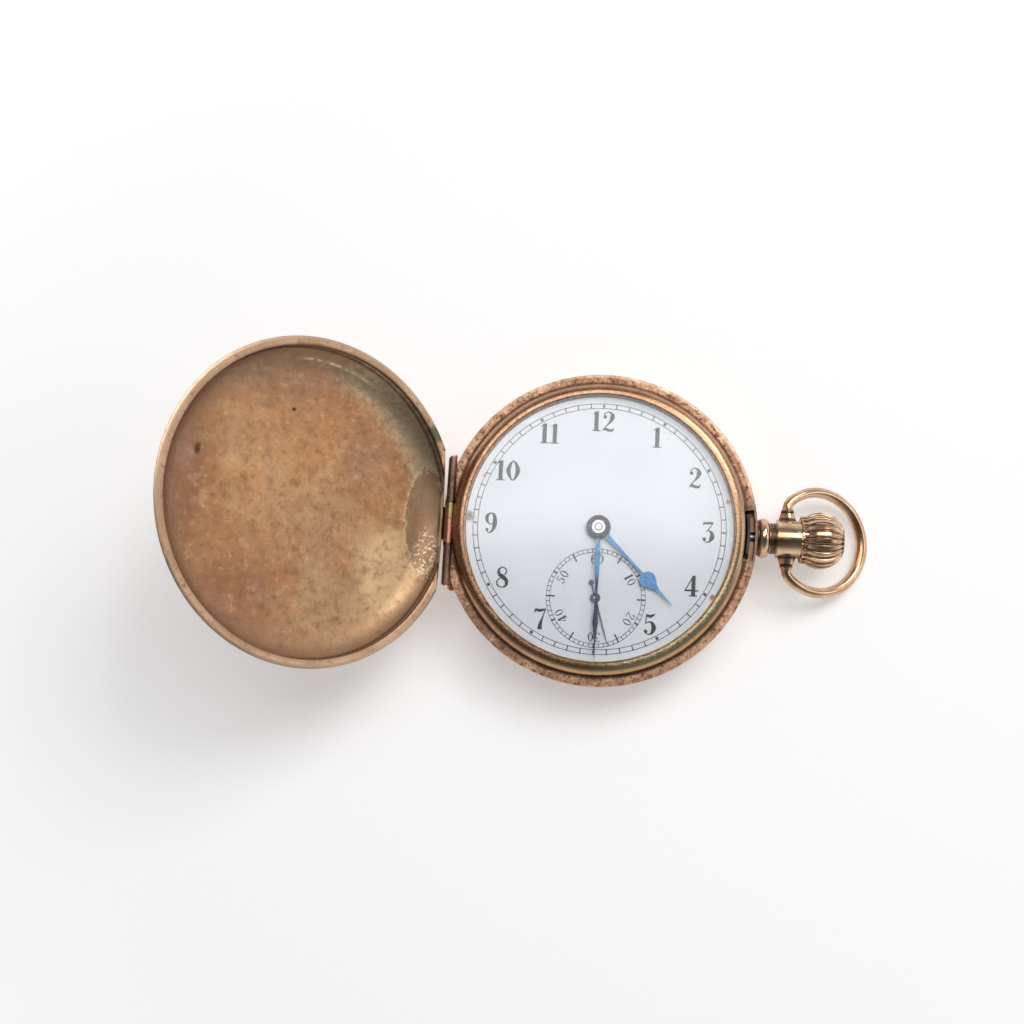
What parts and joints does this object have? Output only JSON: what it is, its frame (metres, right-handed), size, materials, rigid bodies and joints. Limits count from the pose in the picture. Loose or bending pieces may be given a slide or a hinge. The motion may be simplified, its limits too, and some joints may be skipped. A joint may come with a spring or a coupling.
{
  "type": "full hunter pocket watch",
  "caption": "Full hunter pocket watch with hinged covers, crown and bow, enamel dial with subsidiary seconds and a jewelled lever movement.",
  "frame": {"origin": "centre of the flat on the back cover, where the watch rests on a table", "axes": "+X to the crown at 3 o'clock, +Y to 12 o'clock, +Z out of the dial"},
  "size_m": [0.1062, 0.05, 0.0414],
  "materials": {
    "rose_gold": "worn polish, stands in for a low-carat rose gold alloy",
    "tarnished_gold": "copper patina on rose gold",
    "crystal_glass": "polished",
    "dial_enamel": "glossy white enamel on copper",
    "blued_steel": "heat-blued polish",
    "steel": "fine ground",
    "spring_steel": "hardened and tempered",
    "gilt_brass": "frosted gilt",
    "wheel_brass": "polished brass",
    "ruby": "polished synthetic ruby"
  },
  "bodies": {
    "case": {"case_band": "rose_gold", "pendant": "rose_gold", "pendant_sleeve": "steel", "bezel": "rose_gold", "crystal": "crystal_glass", "front_hinge_pin": "steel", "back_hinge_pin": "steel", "lift_spring": "spring_steel", "case_spring_screws": "spring_steel", "dial": "dial_enamel", "main_plate": "gilt_brass", "barrel_bridge": "gilt_brass", "train_bridge": "gilt_brass", "balance_cock": "gilt_brass", "pallet_cock": "gilt_brass", "bridge_screws": "blued_steel", "case_screws": "blued_steel", "train_jewels": "ruby", "balance_jewels": "ruby", "yoke_spring": "spring_steel", "click_spring": "spring_steel", "mainspring": "spring_steel", "hairspring": "spring_steel", "crown_wheel_screw": "blued_steel"},
    "lid": {"front_cover": "tarnished_gold"},
    "back": {"back_cover": "tarnished_gold"},
    "dust_cover": {"cuvette": "tarnished_gold"},
    "bow": {"bow": "rose_gold"},
    "lock_catch": {"lock_spring": "spring_steel"},
    "winding_pinion": {"winding_pinion": "steel"},
    "stem": {"winding_stem": "steel", "crown": "rose_gold"},
    "castle_wheel": {"castle_wheel": "steel"},
    "crown_wheel": {"crown_wheel": "steel"},
    "ratchet": {"ratchet_wheel": "steel", "ratchet_screw": "blued_steel", "barrel_arbor": "steel"},
    "setting_lever": {"setting_lever": "steel"},
    "yoke": {"yoke": "steel"},
    "click": {"click": "steel"},
    "barrel": {"barrel": "wheel_brass"},
    "centre": {"centre_wheel": "wheel_brass", "centre_pinion": "steel", "cannon_pinion": "steel", "minute_hand": "blued_steel"},
    "third": {"third_wheel": "wheel_brass", "third_pinion": "steel"},
    "fourth": {"fourth_wheel": "wheel_brass", "fourth_pinion": "steel", "seconds_hand": "blued_steel"},
    "escape": {"escape_wheel": "wheel_brass", "escape_pinion": "steel"},
    "minute_wheel": {"minute_wheel": "wheel_brass"},
    "hour_wheel": {"hour_wheel": "wheel_brass", "hour_hand": "blued_steel"},
    "setting_wheel": {"setting_wheel": "steel"},
    "pallet": {"pallet_fork": "steel"},
    "balance": {"balance_wheel": "wheel_brass", "balance_staff": "steel", "roller": "steel"}
  },
  "joints": [
    {"name": "lid_hinge", "type": "hinge", "parent": "case", "child": "lid", "pos_m": [-0.0239, 0, 0.0098], "axis": [0, -1, 0], "range_deg": [-140, 0]},
    {"name": "back_hinge", "type": "hinge", "parent": "case", "child": "back", "pos_m": [-0.0239, 0, 0.0038], "axis": [0, 1, 0], "range_deg": [0, 95]},
    {"name": "cuvette_hinge", "type": "hinge", "parent": "case", "child": "dust_cover", "pos_m": [-0.0239, 0, 0.0038], "axis": [0, 1, 0], "range_deg": [0, 90]},
    {"name": "bow_swing", "type": "hinge", "parent": "case", "child": "bow", "pos_m": [0.0299, 0, 0.0066], "axis": [0, -1, 0], "range_deg": [-105, 150]},
    {"name": "lock_catch_press", "type": "hinge", "parent": "case", "child": "lock_catch", "pos_m": [0.01179, 0.01963, 0.006], "axis": [0, 0, 1], "range_deg": [-0.55, 0], "stiffness_Nm_per_rad": 0.02},
    {"name": "crown_turn", "type": "hinge", "parent": "case", "child": "winding_pinion", "pos_m": [0.0163, 0, 0.0066], "axis": [1, 0, 0], "continuous": true},
    {"name": "crown_pull", "type": "slide", "parent": "winding_pinion", "child": "stem", "axis": [1, 0, 0], "range_m": [-0.0005, 0.001]},
    {"name": "castle_shift", "type": "slide", "parent": "winding_pinion", "child": "castle_wheel", "axis": [1, 0, 0], "range_m": [-0.0009, 0]},
    {"name": "crown_wheel_turn", "type": "hinge", "parent": "case", "child": "crown_wheel", "pos_m": [0.01144, 0, 0.004], "axis": [0, 0, 1], "continuous": true},
    {"name": "ratchet_turn", "type": "hinge", "parent": "case", "child": "ratchet", "pos_m": [0.00414, 0.00849, 0.004], "axis": [0, 0, 1], "continuous": true},
    {"name": "setting_lever_rock", "type": "hinge", "parent": "case", "child": "setting_lever", "pos_m": [0.0176, 0.0046, 0.0085], "axis": [0, 0, 1], "range_deg": [-15, 15]},
    {"name": "yoke_rock", "type": "hinge", "parent": "case", "child": "yoke", "pos_m": [0.01508, -0.008, 0.0085], "axis": [0, 0, 1], "range_deg": [-10, 10]},
    {"name": "click_rock", "type": "hinge", "parent": "case", "child": "click", "pos_m": [0.00034, 0.01565, 0.0039], "axis": [0, 0, 1], "range_deg": [0, 8]},
    {"name": "fourth_turn", "type": "hinge", "parent": "case", "child": "fourth", "pos_m": [0, -0.01115, 0.0063], "axis": [0, 0, 1], "continuous": true},
    {"name": "third_turn", "type": "hinge", "parent": "case", "child": "third", "pos_m": [0.00441, -0.00625, 0.0055], "axis": [0, 0, 1], "continuous": true},
    {"name": "centre_turn", "type": "hinge", "parent": "case", "child": "centre", "pos_m": [0, 0, 0.0068], "axis": [0, 0, 1], "continuous": true},
    {"name": "barrel_turn", "type": "hinge", "parent": "case", "child": "barrel", "pos_m": [0.00414, 0.00849, 0.0058], "axis": [0, 0, 1], "continuous": true},
    {"name": "escape_turn", "type": "hinge", "parent": "case", "child": "escape", "pos_m": [-0.00471, -0.01399, 0.0057], "axis": [0, 0, 1], "continuous": true},
    {"name": "minute_wheel_turn", "type": "hinge", "parent": "case", "child": "minute_wheel", "pos_m": [0.00397, -0.00418, 0.0085], "axis": [0, 0, 1], "continuous": true},
    {"name": "hour_wheel_turn", "type": "hinge", "parent": "case", "child": "hour_wheel", "pos_m": [0, 0, 0.009], "axis": [0, 0, 1], "continuous": true},
    {"name": "setting_wheel_turn", "type": "hinge", "parent": "case", "child": "setting_wheel", "pos_m": [0.00983, 0, 0.0085], "axis": [0, 0, 1], "continuous": true},
    {"name": "pallet_rock", "type": "hinge", "parent": "case", "child": "pallet", "pos_m": [-0.00718, -0.01157, 0.0057], "axis": [0, 0, 1], "range_deg": [-5, 5]},
    {"name": "balance_swing", "type": "hinge", "parent": "case", "child": "balance", "pos_m": [-0.0106, -0.0082, 0.0046], "axis": [0, 0, 1], "range_deg": [-270, 270], "stiffness_Nm_per_rad": 0.000001, "deforming": ["hairspring"]}
  ],
  "couplings": [
    {"joint": "cuvette_hinge", "follows": "back_hinge", "ratio": 0.9},
    {"joint": "crown_wheel_turn", "follows": "crown_turn", "ratio": 0.45833},
    {"joint": "ratchet_turn", "follows": "crown_turn", "ratio": -0.34375},
    {"joint": "setting_lever_rock", "follows": "crown_pull", "rad_per_m": 259.74},
    {"joint": "yoke_rock", "follows": "castle_shift", "rad_per_m": -162.6},
    {"joint": "third_turn", "follows": "fourth_turn", "ratio": -0.13333},
    {"joint": "centre_turn", "follows": "fourth_turn", "ratio": 0.016667},
    {"joint": "barrel_turn", "follows": "fourth_turn", "ratio": -0.0020833},
    {"joint": "escape_turn", "follows": "fourth_turn", "ratio": -10},
    {"joint": "minute_wheel_turn", "follows": "fourth_turn", "ratio": -0.0055556},
    {"joint": "hour_wheel_turn", "follows": "fourth_turn", "ratio": 0.0013889},
    {"joint": "setting_wheel_turn", "follows": "fourth_turn", "ratio": 0.0083333}
  ]
}
